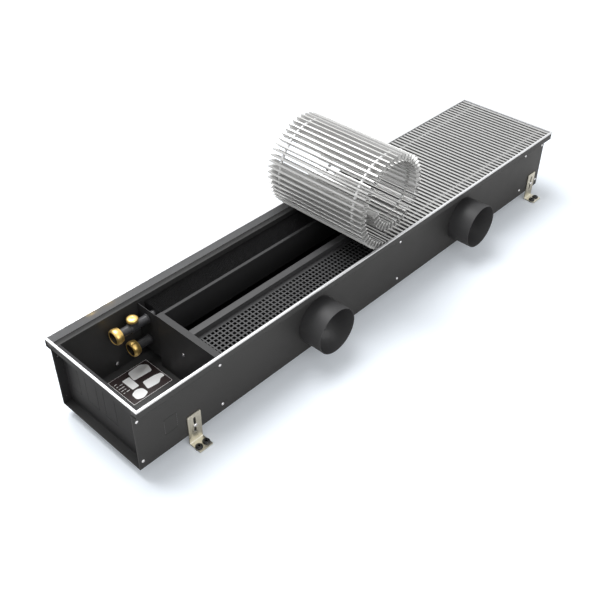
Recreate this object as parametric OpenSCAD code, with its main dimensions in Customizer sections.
// Trench convector heater with fresh air spigots and a roll-up grille.
// Millimetres. X runs along the trench with the pipe compartment at the low end, Y runs across
// it with the air spigots at the low side, and Z points up from the floor under the feet.

/* [Tray] */
// Length of the tray and its frame
tray_l = 1580; // [1400:5:2200]
// Outer width of the frame
frame_w = 320; // [312:1:360]
// Height from the underside of the tray to the top of the frame
tray_h = 190; // [184:1:230]
// Width the side walls stand in from the frame, on each side
step_w = 20; // [16:1:24]
// Height of the upstanding rim around the top
rim_h = 24; // [23:1:28]
// Thickness of the tray sheet
sheet = 1.5; // [1:0.1:2]
// Thickness of the inner panels
panel = 1.2; // [0.8:0.1:1.5]
// Gap between the floor and the underside of the tray
stand_h = 30; // [27:1:45]

/* [Frame] */
// Width of the frame's top face
trim_face = 5; // [4:0.5:8]
// Height of the frame's outer lip
trim_lip = 4; // [3:0.5:6]
// Thickness of the frame's inner web
trim_web = 1.2; // [1:0.1:1.4]

/* [Grille] */
// Spacing of the slats
slat_pitch = 14.8; // [13:0.1:18]
// Width of a slat's top face
slat_top_w = 6.6; // [5:0.1:8]
// Height of a slat
slat_h = 20; // [18:0.5:21]
// Width of a slat's hollow web
slat_web_w = 4.4; // [3.6:0.1:4.8]
// Wall of a slat's hollow web
slat_wall = 1.1; // [0.8:0.1:1.3]
// Depth of a slat's solid top
slat_top_t = 2.4; // [1.6:0.1:3]
// Gap between a slat's end and the frame's web
slat_end_gap = 1.6; // [1:0.1:3]
// Radius of the spacer sleeves between slats
sleeve_r = 3; // [2:0.1:4]
// Height of the sleeves above the slat's lower edge
sleeve_z = 6; // [5:0.5:9]
// Distance of each row of sleeves from the ends of the slats
sleeve_in = 34; // [20:1:60]

/* [Roll] */
// Number of hinged links in the rolled part, two slats in each
links = 27; // [27:1:27]
// Radius of the roll where it leaves the flat grille
roll_r_start = 138; // [125:1:150]
// Radius of the roll at its inner end
roll_r_end = 80; // [76:1:95]
// Share of the local bend by which the two slats of a link lean apart
lean_share = 0.5; // [0:0.1:1]

/* [Panels] */
// Length of the pipe compartment up to the divider's face
compartment_l = 233; // [225:1:260]
// Place of the far divider from the far end of the tray
far_l = 99; // [92:1:120]
// Width of the flanges on the dividers and the baffle
flange_w = 17; // [14:0.5:18]
// Depth from the top of the frame to the top of the dividers
divider_drop = 29; // [28:0.5:34]
// Width of the baffle's top flange
baffle_flange_w = 8.5; // [6:0.5:10]
// Place of the baffle's face from the middle of the tray
baffle_y = 62; // [56:1:64]
// Height of the baffle's face
baffle_h = 76; // [60:1:90]
// Place of the plenum's back wall from the middle of the tray
plenum_y = -23; // [-30:1:-18]
// Depth from the top of the frame to the perforated sheet
perforated_drop = 45; // [42:1:50]
// Spacing of the perforations
hole_pitch = 11.5; // [10.5:0.1:14]
// Width of a perforation
hole_w = 8; // [6:0.1:8.5]
// Rows of perforations
hole_rows = 7; // [5:1:7]

/* [Exchanger] */
// Spacing of the fins
fin_pitch = 12; // [10:0.5:20]
// Thickness of a fin
fin_t = 0.6; // [0.4:0.1:1]
// Gap under the fins
fin_floor_gap = 31; // [26:1:34]
// Depth from the top of the frame to the top of the fins
fin_drop = 35; // [33:1:48]
// Outer radius of the pipes
pipe_r = 10.6; // [8:0.1:11]
// Wall of the pipes
pipe_wall = 2; // [1:0.1:2.5]
// Height of the lower pipe above the fins' foot, as a share of their height
pipe_low_share = 0.3145; // [0.27:0.0005:0.35]
// Distance between the lower and the upper pipe, as a share of the fins' height
pipe_rise_share = 0.508; // [0.46:0.001:0.53]
// Length of the lower pipe stub from the divider to its union nut's mouth
stub_low_l = 58; // [52:1:62]
// Length of the upper pipe stub from the divider to its union nut's mouth
stub_up_l = 98; // [92:1:105]
// Outer radius of a union nut
nut_r = 20; // [18:0.5:22]
// Length of a union nut
nut_l = 20; // [16:0.5:24]
// Radius of a union nut's open mouth
nut_bore_r = 14.5; // [13:0.1:15]
// Radius of the air vent's cap
vent_r = 14; // [11:0.5:15]
// Thickness of the air vent's cap
vent_cap_h = 8; // [6:0.5:9]

/* [Air spigots] */
// Outer radius of an air spigot
duct_r = 62; // [50:0.5:62]
// Wall of an air spigot
duct_wall = 1.5; // [1:0.1:2]
// Length of an air spigot outside the tray
duct_l = 67; // [50:1:120]
// Depth of a spigot's axis below the middle of the side wall
duct_lower = 4; // [0:0.5:12]
// Place of the first spigot along the tray
duct_x1 = -241; // [-330:1:-200]
// Distance between the spigots
duct_step = 603; // [560:1:640]

/* [Feet] */
// Distance of the near feet from the near end of the tray
foot_in1 = 152; // [140:1:165]
// Distance of the far feet from the far end of the tray
foot_in2 = 44; // [42:1:50]
// Width of a foot bracket
foot_w = 38; // [36:1:44]
// Height of a foot bracket's leg
foot_leg_h = 85; // [80:1:90]
// Depth of a foot bracket's foot
foot_d = 37; // [34:1:50]
// Thickness of a foot bracket
foot_t = 3; // [2.5:0.5:4]
// Length of the slot in a foot bracket
slot_l = 47; // [40:1:50]
// Radius of the slot's ends
slot_r = 3.25; // [3.2:0.05:4]
// Distance between the two rubber grommets of a foot
grommet_step = 21; // [19:0.5:24]
// Radius of a rubber grommet
grommet_r = 9; // [7:0.5:9.2]
// Radius of the screw hole in a grommet
grommet_hole_r = 2.8; // [2:0.1:3.5]

/* [Hidden] */
$fn = 48;
// Clearance between pieces on different bodies
gap = 0.3;
// Running clearance between a turning piece and what it turns on
run = 0.08;
// Overrun of a cut past the face it opens
cut = 1;

// Places worked out across the tray
half_l = tray_l/2;
half_w = frame_w/2;
wall_y = half_w - step_w;
wall_in = wall_y - sheet;
web_in_y = half_w - trim_face;
rim_y = half_w - trim_face + trim_web + gap + sheet;
foot_reach = wall_y + gap + foot_d;
duct_reach = wall_y + duct_l;
tray_y = (duct_reach - foot_reach)/2;

// Heights worked out from the floor
tray_z = stand_h;
floor_z = tray_z + sheet;
top_z = tray_z + tray_h;
ledge_z = top_z - rim_h + sheet;
lip_z = top_z - trim_lip;
divider_z = top_z - divider_drop;
perforated_z = top_z - perforated_drop;
slat_z = ledge_z + gap;
duct_axis_z = tray_z + (tray_h - rim_h)/2 - duct_lower;

// Places worked out along the tray
divider_x = -half_l + compartment_l;
far_x = half_l - far_l;
end_in = step_w + sheet;
mid_off = 18.9;
mid_x = duct_x1 + duct_step/2 + mid_off;
foot_x1 = foot_in1 - half_l;
foot_x2 = half_l - foot_in2;

// The exchanger
pipe_y = (baffle_y + baffle_flange_w + wall_in)/2;
fin_z = tray_z + fin_floor_gap;
fin_h = top_z - fin_drop - fin_z;
pipe_rise = pipe_rise_share*fin_h;
pipe_low_z = fin_z + pipe_low_share*fin_h;
pipe_up_z = pipe_low_z + pipe_rise;
fin_w = wall_in - baffle_y - baffle_flange_w - 6*gap;

// Fasteners
rivet_r = 4;
rivet_h = 1.8;
rivet_shank_r = 2;
rivet_top = 48.8;
rivet_foot = 21;
rivet_in = flange_w/4;
bolt_r = 3;
bolt_head_r = 5;
bolt_head_h = 3.3;
bolt_nut_r = 5.8;
bolt_nut_h = 5;
bolt_z = tray_z + foot_leg_h/4 + sheet;

// Name of a link, counted from the flat grille
function link_name(i) = str("grille_link_", i < 10 ? "0" : "", i);

// The roll: hinge points, bends and headings of the links
slats_all = floor((tray_l - 2*trim_face)/slat_pitch);
slat_x0 = -(slats_all - 1)*slat_pitch/2;
link_l = 2*slat_pitch;
hinge_x0 = slat_x0 + (2*links - 0.5)*slat_pitch;
hinge_z0 = slat_z + sleeve_z;
function link_r(i) = roll_r_start + (roll_r_end - roll_r_start)*(i - 1)/(links - 1);
function bend(i) = 2*asin(link_l/(2*link_r(i)));
function heading(i) = i < 1 ? 0 : heading(i - 1) + bend(i);
function hinge_x(i) = i < 2 ? hinge_x0 : hinge_x(i - 1) - link_l*cos(heading(i - 1));
function hinge_z(i) = i < 2 ? hinge_z0 : hinge_z(i - 1) + link_l*sin(heading(i - 1));

// Puts a piece drawn about the middle of the tray where the whole stands centred
module place() {
    translate([0, tray_y, 0]) children();
}

// Extrudes an outline drawn in Y and Z along X, centred
module along_x(length) {
    rotate([90, 0, 90]) linear_extrude(length, center = true) children();
}

// Extrudes an outline drawn in X and Z along Y, centred
module along_y(length) {
    rotate([90, 0, 0]) linear_extrude(length, center = true) children();
}

// Round bar or cut along X, from x1 to x2
module bar_x(x1, x2, y, z, r) {
    translate([x1, y, z]) rotate([0, 90, 0]) cylinder(h = x2 - x1, r = r);
}

// Round bar or cut along Y, from y1 to y2
module bar_y(x, y1, y2, z, r) {
    translate([x, y2, z]) rotate([90, 0, 0]) cylinder(h = y2 - y1, r = r);
}

// Half of the tray's bent section, from its lower corner over the ledge to the floor's inside
half_section = [
    [wall_y, 0], [wall_y, tray_h - rim_h], [rim_y, tray_h - rim_h],
    [rim_y, tray_h - rim_h + sheet], [wall_in, tray_h - rim_h + sheet], [wall_in, sheet]];

module tray_section() {
    last = len(half_section) - 1;
    polygon(concat(half_section,
        [for (i = [last:-1:0]) [-half_section[i][0], half_section[i][1]]]));
}

// Columns of rivets through the front and the back wall
rivet_end_x = half_l - end_in/2;
rivet_front = [-rivet_end_x, divider_x + rivet_in, mid_x, far_x - rivet_in, rivet_end_x];
rivet_back = [-rivet_end_x, divider_x + rivet_in, far_x - rivet_in, rivet_end_x];

// Puts a child at each rivet of the side walls, its axis pointing outwards
module at_rivets() {
    for (z = [top_z - rivet_top, tray_z + rivet_foot]) {
        for (x = rivet_front) translate([x, -wall_y, z]) rotate([90, 0, 0]) children();
        for (x = rivet_back) translate([x, wall_y, z]) rotate([-90, 0, 0]) children();
    }
}

// Cuts the holes for the shanks of the rivets
module rivet_holes() {
    at_rivets() translate([0, 0, -flange_w]) cylinder(h = 2*flange_w, r = rivet_shank_r + run);
}

// Score lines of a rectangular knock-out, on a face looking along -Y
score_w = 0.9;
score_d = 0.5;
module knock_out(w, h) {
    along_y(2*score_d) difference() {
        square([w + score_w, h + score_w], center = true);
        square([w - score_w, h - score_w], center = true);
    }
}

knock_side_w = 34;
knock_side_h = 44;
knock_side_in = 92;
knock_side_z = tray_h*0.37;
module tray_shell() {
    color("#3e3e40") place() difference() {
        translate([0, 0, tray_z]) along_x(tray_l) tray_section();
        rivet_holes();
        for (x = [duct_x1, duct_x1 + duct_step])
            bar_y(x, -wall_y - cut, -wall_in + cut, duct_axis_z, duct_neck_r + run);
        for (x = [foot_x1, foot_x2], s = [-1, 1])
            bar_y(x, s*wall_y - sheet - cut, s*wall_y + sheet + cut, bolt_z, bolt_r + run);
        translate([-half_l + knock_side_in, -wall_y, floor_z + knock_side_z])
            knock_out(knock_side_w, knock_side_h);
    }
}

// Upstanding rims along both ledges of the tray
module tray_rims() {
    color("#3e3e40") place() for (s = [0, 1]) mirror([0, s, 0])
        translate([-half_l, rim_y - sheet, ledge_z]) cube([tray_l, sheet, lip_z - ledge_z]);
}

// End panel set in from the end, with its ledge and rim bent outwards at the top
knock_end_w = 40;
knock_end_h = 84;
knock_end_step = 66;
knock_end_y = 40;
knock_end_z = tray_h*0.48;
module end_panel() {
    face_x = half_l - end_in;
    rim_x = half_l - trim_face + trim_web + gap + sheet;
    inner = wall_in - gap;
    difference() {
        union() {
            translate([face_x - sheet, -inner, floor_z])
                cube([sheet, 2*inner, ledge_z - floor_z]);
            translate([face_x - sheet, -inner, ledge_z - sheet])
                cube([rim_x - face_x + sheet, 2*inner, sheet]);
            translate([rim_x - sheet, -inner, ledge_z - sheet])
                cube([sheet, 2*inner, lip_z - ledge_z + sheet]);
            for (s = [0, 1]) mirror([0, s, 0])
                translate([face_x - sheet, inner - panel, floor_z])
                    cube([end_in - sheet, panel, ledge_z - floor_z]);
        }
        rivet_holes();
        for (k = [-1:1])
            translate([face_x, knock_end_y + k*knock_end_step, tray_z + knock_end_z])
                rotate([0, 0, 90]) knock_out(knock_end_w, knock_end_h);
    }
}

module end_panels() {
    color("#353537") place() for (s = [0, 1]) mirror([s, 0, 0]) end_panel();
}

// Section of the frame: a lip over the rim and a web down to the ledge
function trim_section() = [
    [-trim_face, ledge_z], [trim_web - trim_face, ledge_z], [trim_web - trim_face, lip_z],
    [0, lip_z], [0, top_z], [-trim_face, top_z]];

// Keeps what lies inside a mitre at 45 degrees to the ends of a bar
module mitre(half_length, half_width) {
    intersection() {
        children();
        linear_extrude(2*top_z) polygon([
            [-half_length, -half_width], [half_length, -half_width],
            [half_length - 2*trim_face, 2*trim_face - half_width],
            [2*trim_face - half_length, 2*trim_face - half_width]]);
    }
}

module trim_sides() {
    color("#d9dadc") place() for (s = [0, 1]) mirror([0, s, 0])
        mitre(half_l, half_w)
            mirror([0, 1, 0]) translate([0, half_w, 0]) along_x(tray_l) polygon(trim_section());
}

module trim_ends() {
    color("#d9dadc") place() for (s = [0, 1]) mirror([s, 0, 0]) rotate([0, 0, 90])
        mitre(half_w, half_l)
            mirror([0, 1, 0]) translate([0, half_l, 0]) along_x(frame_w) polygon(trim_section());
}

// Upright panel across the tray with a top flange and a riveted flange at the front wall
rivet_flange_l = flange_w/2 + rivet_in;
module divider(y1, y2) {
    translate([0, y1, floor_z]) cube([panel, y2 - y1, divider_z - floor_z]);
    translate([0, y1, divider_z - panel]) cube([flange_w, y2 - y1, panel]);
    translate([0, y1, floor_z]) cube([rivet_flange_l, panel, divider_z - floor_z]);
}

module dividers() {
    color("#2c2c2d") place() difference() {
        union() {
            translate([divider_x, 0, 0]) divider(-wall_in + gap, baffle_y + baffle_flange_w);
            translate([far_x, 0, 0]) mirror([1, 0, 0])
                divider(-wall_in + gap, baffle_y + baffle_flange_w);
        }
        rivet_holes();
        plenum_rivets() cylinder(h = 4*panel, r = rivet_shank_r + run, center = true);
    }
}

// The plenum: back wall with end flanges, a divider between its two chambers, and its cover
plenum_x1 = divider_x + panel;
plenum_x2 = far_x - panel;
plenum_rivet_y = plenum_y + flange_w/4;
plenum_rivet_z = top_z - rim_h - rivet_top*1.45;
module plenum_rivets() {
    translate([divider_x + panel, plenum_rivet_y, plenum_rivet_z]) rotate([0, -90, 0])
        children();
    translate([far_x - panel, plenum_rivet_y, plenum_rivet_z]) rotate([0, 90, 0]) children();
}

module plenum_wall() {
    flange = flange_w/2;
    length = plenum_x2 - plenum_x1;
    top = divider_z - 2*panel;
    color("#2b2b2c") place() difference() {
        union() {
            translate([plenum_x1, plenum_y - panel, floor_z]) cube([length, panel, top - floor_z]);
            translate([plenum_x1, plenum_y - flange, floor_z]) cube([length, flange, panel]);
            for (x = [plenum_x1, plenum_x2 - panel]) translate([x, plenum_y - panel, floor_z])
                cube([panel, panel + flange, top - floor_z]);
        }
        plenum_rivets() cylinder(h = 4*panel, r = rivet_shank_r + run, center = true);
    }
}

module plenum_divider() {
    y1 = -wall_in + gap;
    y2 = plenum_y - panel;
    flange = flange_w/2;
    top = perforated_z - panel;
    color("#2b2b2c") place() difference() {
        translate([mid_x - flange/2, y1, floor_z]) {
            cube([flange, panel, top - floor_z]);
            translate([0, 0, panel]) cube([panel, y2 - y1, top - floor_z - panel]);
        }
        rivet_holes();
    }
}

// Perforated cover: field of square holes, upstand and top flange in one bent sheet
module perforated_cover() {
    y1 = -wall_in + gap;
    up_y = plenum_y - flange_w;
    length = plenum_x2 - plenum_x1;
    columns = floor((length - 2*flange_w)/hole_pitch);
    mid = (plenum_x1 + plenum_x2)/2;
    x0 = mid - (columns - 1)*hole_pitch/2;
    field_y = (y1 + up_y - panel)/2;
    y0 = field_y - (hole_rows - 1)*hole_pitch/2;
    color("#4b4b4d") place() union() {
        translate([0, 0, perforated_z - panel]) linear_extrude(panel) difference() {
            translate([plenum_x1, y1]) square([length, up_y - y1]);
            for (x = [divider_x, far_x]) translate([x, y1])
                square([2*(rivet_flange_l + gap), 2*(panel + gap)], center = true);
            for (i = [0:columns - 1]) if (abs(x0 + i*hole_pitch - mid_x) > hole_w)
                for (j = [0:hole_rows - 1]) translate([x0 + i*hole_pitch, y0 + j*hole_pitch])
                    square(hole_w, center = true);
        }
        translate([plenum_x1, up_y - panel, perforated_z - panel])
            cube([length, panel, divider_z - perforated_z]);
        translate([plenum_x1, up_y - panel, divider_z - 2*panel])
            cube([length, flange_w + panel, panel]);
    }
}

// Baffle between the air channel and the exchanger
module air_baffle() {
    length = far_x - divider_x - 2*panel;
    color("#2a2a2b") place() union() {
        translate([divider_x + panel, baffle_y, divider_z - 2*panel - baffle_h])
            cube([length, panel, baffle_h + panel]);
        translate([divider_x + panel, baffle_y, divider_z - 2*panel])
            cube([length, baffle_flange_w, panel]);
    }
}

// The exchanger: fins pressed on two pipes, joined by a return bend at the far end
fin_run = far_x - divider_x - 2*fin_pitch;
fin_count = floor(fin_run/fin_pitch);
fin_x0 = (divider_x + far_x)/2 - (fin_count - 1)*fin_pitch/2;
collar_r = pipe_r + 0.6*panel;
module exchanger_fins() {
    y0 = pipe_y - fin_w/2;
    color("#1d1d1e") place() difference() {
        union() {
            for (i = [0:fin_count - 1]) translate([fin_x0 + i*fin_pitch, y0, fin_z])
                cube([fin_t, fin_w, fin_h]);
            for (z = [pipe_low_z, pipe_up_z])
                bar_x(fin_x0, fin_x0 + (fin_count - 1)*fin_pitch + fin_t, pipe_y, z, collar_r);
        }
        for (z = [pipe_low_z, pipe_up_z])
            bar_x(fin_x0 - cut, -fin_x0*2, pipe_y, z, pipe_r + run);
    }
}

pipe_x1 = divider_x - panel;
pipe_x2 = far_x + 2*panel;
module exchanger_pipes() {
    color("#4a4a4b") place() for (z = [pipe_low_z, pipe_up_z]) difference() {
        bar_x(pipe_x1, pipe_x2, pipe_y, z, pipe_r);
        bar_x(pipe_x1 - cut, pipe_x2 + cut, pipe_y, z, pipe_r - pipe_wall);
    }
}

// End plates that carry the pipes, with a flange riveted to the back wall
module exchanger_plate() {
    y1 = baffle_y + baffle_flange_w + gap;
    y2 = wall_in - gap;
    h = fin_h + 4*panel;
    difference() {
        union() {
            translate([0, y1, fin_z]) cube([panel, y2 - y1, h]);
            translate([0, y2 - panel, floor_z])
                cube([rivet_flange_l, panel, h + fin_z - floor_z]);
        }
        for (z = [pipe_low_z, pipe_up_z])
            bar_x(-cut, 2*cut, pipe_y, z, pipe_r + run);
    }
}

module exchanger_end_plates() {
    color("#262627") place() difference() {
        union() {
            translate([divider_x, 0, 0]) exchanger_plate();
            translate([far_x, 0, 0]) mirror([1, 0, 0]) exchanger_plate();
        }
        rivet_holes();
    }
}

bend_r = pipe_rise/2;
module return_bend() {
    color("#4a4a4b") place() translate([pipe_x2, pipe_y, pipe_low_z + bend_r])
        rotate([90, 0, 0]) rotate([0, 0, -90]) rotate_extrude(angle = 180)
            translate([bend_r, 0]) difference() {
                circle(pipe_r);
                circle(pipe_r - pipe_wall);
            }
}

// Pipe stub from the exchanger to the union nut, with a collar that holds the nut
collar_l = 3;
seat_l = 2;
module stub(length, z) {
    nut_x = pipe_x1 - length;
    difference() {
        union() {
            bar_x(nut_x + nut_l - seat_l - collar_l - run, pipe_x1, pipe_y, z, pipe_r);
            bar_x(nut_x + nut_l - seat_l - collar_l - run, nut_x + nut_l - seat_l - run,
                pipe_y, z, nut_bore_r - run);
            bar_x(pipe_x1 - collar_l, pipe_x1, pipe_y, z, pipe_r + pipe_wall);
        }
        bar_x(nut_x, pipe_x1 + cut, pipe_y, z, pipe_r - pipe_wall);
    }
}

// Boss of the air vent on the upper stub, under the vent's cap
vent_x = divider_x - 0.42*stub_up_l;
vent_boss_r = vent_r - 2;
vent_boss_h = 7;
vent_boss_z = pipe_up_z + pipe_r + vent_boss_h;
vent_bore_r = 4;
vent_stem_l = 0.9*vent_boss_h;
module flow_stub() {
    color("#3a3a3b") place() difference() {
        union() {
            stub(stub_up_l, pipe_up_z);
            difference() {
                union() {
                    translate([vent_x, pipe_y, pipe_up_z])
                        cylinder(h = vent_boss_z - pipe_up_z, r = vent_boss_r);
                    bar_x(vent_x - vent_boss_r, vent_x + vent_boss_r, pipe_y, pipe_up_z,
                        pipe_r + pipe_wall);
                }
                bar_x(vent_x - vent_r, vent_x + vent_r, pipe_y, pipe_up_z,
                    pipe_r - pipe_wall);
            }
        }
        translate([vent_x, pipe_y, pipe_up_z + pipe_r])
            cylinder(h = vent_boss_z, r = vent_bore_r + run);
    }
}

module return_stub() {
    color("#3a3a3b") place() stub(stub_low_l, pipe_low_z);
}

// Union nut: crowned outside, open mouth, turns on the collar of its stub
nut_crown = nut_r*0.16;
module union_nut(length, z) {
    translate([pipe_x1 - length, pipe_y, z]) rotate([0, 90, 0]) rotate_extrude() polygon([
        [nut_bore_r, 0], [nut_r - 1.6*nut_crown, 0], [nut_r - nut_crown/2, nut_l*0.12],
        [nut_r, nut_l*0.4], [nut_r - nut_crown/4, nut_l*0.72],
        [nut_r - 1.4*nut_crown, nut_l], [pipe_r + run, nut_l],
        [pipe_r + run, nut_l - seat_l], [nut_bore_r, nut_l - seat_l]]);
}

module union_nut_flow() {
    color("#c8a24c") place() union_nut(stub_up_l, pipe_up_z);
}

module union_nut_return() {
    color("#c8a24c") place() union_nut(stub_low_l, pipe_low_z);
}

// Cap of the air vent, with a stem down into the boss and a screwdriver slot on top
vent_slot = 1.6;
module vent_cap() {
    color("#d3ae57") place() translate([vent_x, pipe_y, vent_boss_z + gap]) difference() {
        union() {
            rotate_extrude() polygon([
                [0, 0], [0.94*vent_r, 0], [vent_r, 0.15*vent_cap_h], [vent_r, 0.6*vent_cap_h],
                [0.86*vent_r, 0.88*vent_cap_h], [0.6*vent_r, vent_cap_h], [0, vent_cap_h]]);
            translate([0, 0, -vent_stem_l]) cylinder(h = vent_stem_l, r = vent_bore_r);
        }
        translate([-vent_r*0.4, -vent_slot/2, vent_cap_h - vent_slot])
            cube([vent_r*0.8, vent_slot, vent_slot + cut]);
    }
}

// Air spigot: thin tube with a neck through the tray's wall and a collar inside it
duct_neck_r = duct_r - duct_wall/2;
module duct_spigot() {
    seat = wall_in - gap;
    rotate([90, 0, 0]) rotate_extrude($fn = 2*$fn) polygon([
        [duct_r - duct_wall, seat - panel], [duct_r + duct_wall, seat - panel],
        [duct_r + duct_wall, seat], [duct_neck_r, seat], [duct_neck_r, wall_y + gap],
        [duct_r, wall_y + gap], [duct_r, duct_reach], [duct_r - duct_wall, duct_reach]]);
}

module duct_spigots() {
    color("#414143") place() for (x = [duct_x1, duct_x1 + duct_step])
        translate([x, 0, duct_axis_z]) duct_spigot();
}

// Blind rivet with a domed head and a short shank
module rivet(grip) {
    rotate_extrude($fn = 24) polygon([
        [0, -grip], [rivet_shank_r, -grip], [rivet_shank_r, 0], [rivet_r, 0],
        [rivet_r*0.94, rivet_h*0.45], [rivet_r*0.72, rivet_h*0.84], [0, rivet_h]]);
}

module rivets() {
    color("#e8e8ea") place() {
        at_rivets() rivet(sheet + panel + 2*gap);
        plenum_rivets() translate([0, 0, panel]) rivet(2*panel);
    }
}

// Pan-head bolt and nut that clamp a foot bracket to the side wall
bolt_seat = wall_y + 2*gap + foot_t;
module bracket_bolt() {
    translate([0, -bolt_seat, 0]) rotate([90, 0, 0]) rotate_extrude() polygon([
        [0, 0], [bolt_head_r, 0], [bolt_head_r, 0.4*bolt_head_h],
        [0.92*bolt_head_r, 0.7*bolt_head_h], [0.7*bolt_head_r, bolt_head_h], [0, bolt_head_h]]);
    bar_y(0, -bolt_seat, -wall_in + bolt_nut_h, 0, bolt_r);
    translate([0, -wall_in, 0]) rotate([-90, 0, 0])
        cylinder(h = bolt_nut_h - gap, r = bolt_nut_r, $fn = 6);
}

module bracket_bolts() {
    color("#c9cacb") place() for (x = [foot_x1, foot_x2], s = [0, 1])
        mirror([0, s, 0]) translate([x, 0, bolt_z]) bracket_bolt();
}

// Foot bracket: slotted leg on the wall and a foot with two grommet holes
foot_z = 2;
foot_corner = 4;
neck_r = 6.4;
grommet_in = foot_d - 1.5*grommet_r;
foot_places = [[foot_x1, 0], [foot_x2, 0], [foot_x1, 1], [foot_x2, 1]];
module at_foot(k) {
    p = foot_places[k - 1];
    place() mirror([0, p[1], 0]) translate([p[0], 0, 0]) children();
}

module foot_bracket() {
    y1 = -wall_y - gap - foot_t;
    difference() {
        union() {
            translate([-foot_w/2, y1, foot_z]) cube([foot_w, foot_t, foot_leg_h - foot_corner]);
            translate([foot_corner - foot_w/2, y1, foot_z])
                cube([foot_w - 2*foot_corner, foot_t, foot_leg_h]);
            for (s = [-1, 1])
                bar_y(s*(foot_w/2 - foot_corner), y1, y1 + foot_t,
                    foot_z + foot_leg_h - foot_corner, foot_corner);
            translate([-foot_w/2, -foot_reach, foot_z]) cube([foot_w, foot_d, foot_t]);
            translate([0, y1, foot_z + foot_t]) along_x(foot_w)
                polygon([[0, 0], [-foot_t/2, 0], [0, foot_t/2]]);
        }
        along_y(4*wall_y) translate([0, bolt_z]) {
            square([2*slot_r, slot_l - 2*slot_r], center = true);
            for (s = [-1, 1]) translate([0, s*(slot_l/2 - slot_r)]) circle(slot_r);
        }
        for (s = [-1, 1]) translate([s*grommet_step/2, grommet_y(), 0])
            cylinder(h = foot_leg_h/2, r = neck_r);
    }
}

function grommet_y() = -wall_y - gap - grommet_in;

// Rubber grommets, snapped in the foot's holes and standing on the floor
module foot_grommets() {
    neck = neck_r - run;
    for (s = [-1, 1]) translate([s*grommet_step/2, grommet_y(), 0]) rotate_extrude() polygon([
        [grommet_hole_r, 0], [grommet_r, 0], [grommet_r, foot_z], [neck, foot_z],
        [neck, foot_z + foot_t], [grommet_r, foot_z + foot_t],
        [grommet_r, foot_z + 1.7*foot_t], [grommet_r*0.82, foot_z + 2.4*foot_t],
        [grommet_r*0.55, foot_z + 2.7*foot_t], [grommet_hole_r, foot_z + 2.7*foot_t]]);
}

module foot_bracket_n(k) {
    color("#cfcbbf") at_foot(k) foot_bracket();
}

module foot_grommets_n(k) {
    color("#161616") at_foot(k) foot_grommets();
}

// Card laid on the floor of the compartment
card_l = 116;
card_w = 103;
card_t = 0.4;
card_in = 12;
card_y = 66.5;
card_x = divider_x - card_in - card_l/2;
module wiring_card() {
    color("#2a2221") place() translate([card_x - card_l/2, card_y - card_w/2, floor_z])
        cube([card_l, card_w, card_t]);
}

// Slat of the grille: solid top over a hollow web, drawn about its middle
slat_l = 2*(web_in_y - slat_end_gap);
slat_edge = 0.6;
module slat() {
    along_y(slat_l) translate([0, -sleeve_z]) difference() {
        polygon([
            [-slat_web_w/2, 0], [slat_web_w/2, 0], [slat_web_w/2, slat_h - slat_top_t],
            [slat_top_w/2, slat_h - slat_top_t + slat_edge], [slat_top_w/2, slat_h - slat_edge],
            [slat_top_w/2 - slat_edge, slat_h], [slat_edge - slat_top_w/2, slat_h],
            [-slat_top_w/2, slat_h - slat_edge], [-slat_top_w/2, slat_h - slat_top_t + slat_edge],
            [-slat_web_w/2, slat_h - slat_top_t]]);
        translate([slat_wall - slat_web_w/2, slat_wall])
            square([slat_web_w - 2*slat_wall, slat_h - slat_top_t - 2*slat_wall]);
    }
}

// Pair of sleeves between two slats, from x1 to x2
sleeve_y = slat_l/2 - sleeve_in;
module sleeves(x1, x2) {
    for (s = [-1, 1]) bar_x(x1, x2, s*sleeve_y, 0, sleeve_r, $fn = 24);
}

module grille_slats() {
    color("#dcdcda") place() for (i = [2*links:slats_all - 1])
        translate([slat_x0 + i*slat_pitch, 0, hinge_z0]) slat();
}

module grille_sleeves() {
    color("#e6e6e4") place() for (i = [2*links:slats_all - 2])
        translate([slat_x0 + i*slat_pitch, 0, hinge_z0])
            sleeves(slat_web_w/2, slat_pitch - slat_web_w/2);
}

// Link of the rolled grille: two slats, a sleeve between them and one towards the hinge
hinge_gap = 1;
module grille_link(i) {
    lean = bend(i)*lean_share/4;
    color("#dcdcda") place() translate([hinge_x(i), 0, hinge_z(i)])
        rotate([0, heading(i), 0]) {
            translate([-slat_pitch/2, 0, 0]) rotate([0, -lean, 0]) slat();
            translate([-slat_pitch*1.5, 0, 0]) rotate([0, lean, 0]) slat();
            sleeves(-slat_pitch*1.5 + slat_web_w/2 + hinge_gap/4,
                -slat_pitch/2 - slat_web_w/2 - hinge_gap/4);
            sleeves(-slat_pitch/2 + slat_web_w/2 + hinge_gap/4,
                slat_pitch/2 - slat_web_w/2 - hinge_gap);
        }
}

tray_shell();
tray_rims();
end_panels();
trim_sides();
trim_ends();
dividers();
plenum_divider();
plenum_wall();
perforated_cover();
air_baffle();
exchanger_fins();
exchanger_pipes();
exchanger_end_plates();
return_bend();
flow_stub();
return_stub();
duct_spigots();
rivets();
bracket_bolts();
wiring_card();
union_nut_flow();
union_nut_return();
vent_cap();
foot_bracket_n(1);  // foot_bracket_1
foot_bracket_n(2);  // foot_bracket_2
foot_bracket_n(3);  // foot_bracket_3
foot_bracket_n(4);  // foot_bracket_4
foot_grommets_n(1);  // foot_grommets_1
foot_grommets_n(2);  // foot_grommets_2
foot_grommets_n(3);  // foot_grommets_3
foot_grommets_n(4);  // foot_grommets_4
grille_slats();
grille_sleeves();
for (i = [1:links]) grille_link(i);
